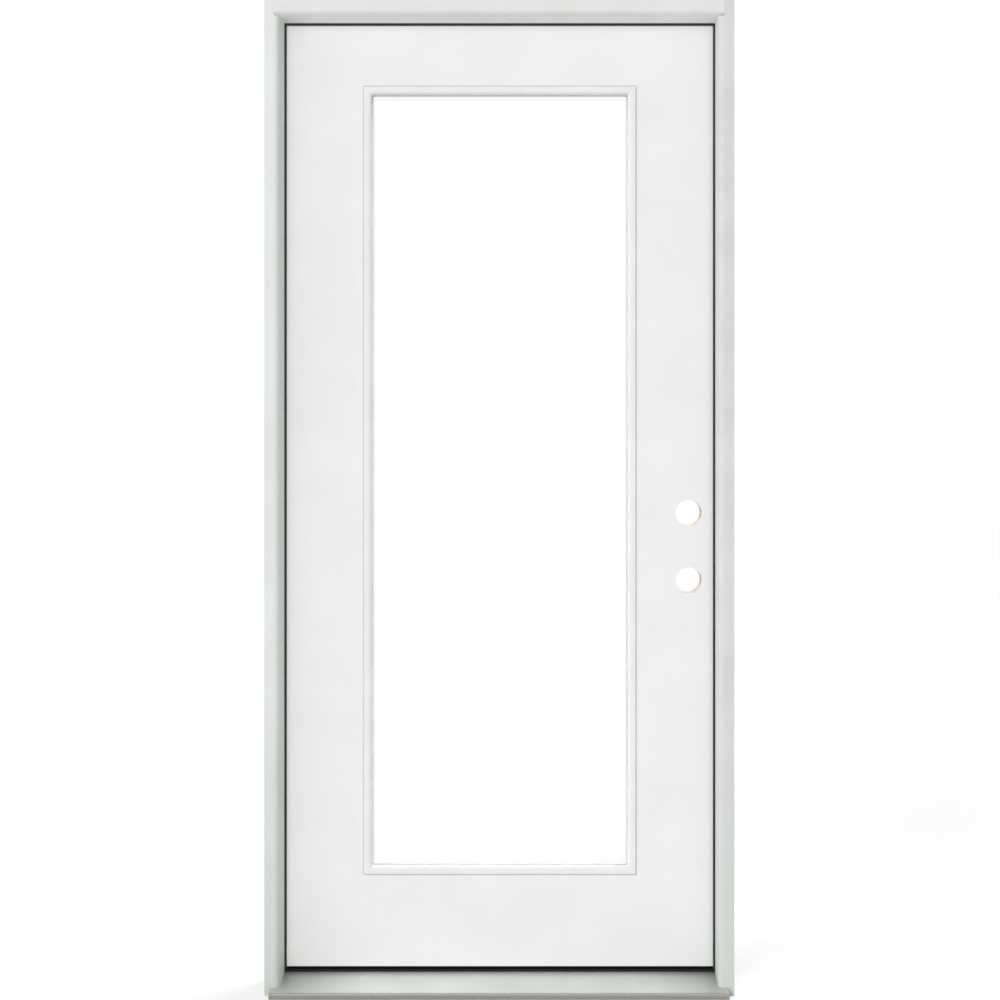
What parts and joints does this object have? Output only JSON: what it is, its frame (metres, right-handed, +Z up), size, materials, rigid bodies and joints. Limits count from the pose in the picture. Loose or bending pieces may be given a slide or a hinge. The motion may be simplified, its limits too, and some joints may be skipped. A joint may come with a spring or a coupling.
{
  "type": "prehung fiberglass entry door",
  "caption": "Left-hand inswing entrance door of smooth white fibreglass with a full clear glass, hung in a timber frame on an aluminium sill, with empty lock bores.",
  "frame": {"origin": "under the sill, halfway across the opening and halfway through the depth of the jambs", "axes": "+X to the right seen from outside, +Y into the building, +Z up"},
  "size_m": [0.9524, 0.162, 2.018],
  "materials": {
    "painted_timber": "smooth factory primer",
    "stile_timber": "primed edges",
    "composite_rail": "matt",
    "fibreglass": "smooth, satin",
    "foam": "rigid foam, hidden",
    "moulding": "smooth, satin",
    "clear_glass": "clear",
    "spacer_bar": "mill finish",
    "sill_composite": "matt, brown grey",
    "sill_aluminium": "satin",
    "cap_composite": "matt",
    "seal_rubber": "soft, black",
    "hinge_steel": "satin"
  },
  "bodies": {
    "frame": {"hinge_jamb": "painted_timber", "strike_jamb": "painted_timber", "head_jamb": "painted_timber", "sill_base": "sill_composite", "sill_deck": "sill_aluminium", "sill_cap": "cap_composite", "hinge_side_weatherstrip": "seal_rubber", "strike_side_weatherstrip": "seal_rubber", "head_weatherstrip": "seal_rubber", "hinge_side_corner_pad": "seal_rubber", "strike_side_corner_pad": "seal_rubber", "top_hinge_jamb_leaf": "hinge_steel", "middle_hinge_jamb_leaf": "hinge_steel", "bottom_hinge_jamb_leaf": "hinge_steel", "top_hinge_pin": "hinge_steel", "middle_hinge_pin": "hinge_steel", "bottom_hinge_pin": "hinge_steel"},
    "door": {"exterior_skin": "fibreglass", "interior_skin": "fibreglass", "hinge_stile": "stile_timber", "latch_stile": "stile_timber", "top_rail": "composite_rail", "bottom_rail": "composite_rail", "hinge_side_core": "foam", "latch_side_core": "foam", "upper_core": "foam", "lower_core": "foam", "lock_block": "stile_timber", "exterior_glazing_frame": "moulding", "interior_glazing_frame": "moulding", "exterior_pane": "clear_glass", "interior_pane": "clear_glass", "pane_spacer": "spacer_bar", "door_sweep": "seal_rubber", "top_hinge_door_leaf": "hinge_steel", "middle_hinge_door_leaf": "hinge_steel", "bottom_hinge_door_leaf": "hinge_steel"}
  },
  "joints": [
    {"name": "door_swing", "type": "hinge", "parent": "frame", "child": "door", "pos_m": [-0.45465, 0.07065, 0], "axis": [0, 0, 1], "range_deg": [0, 180]}
  ]
}
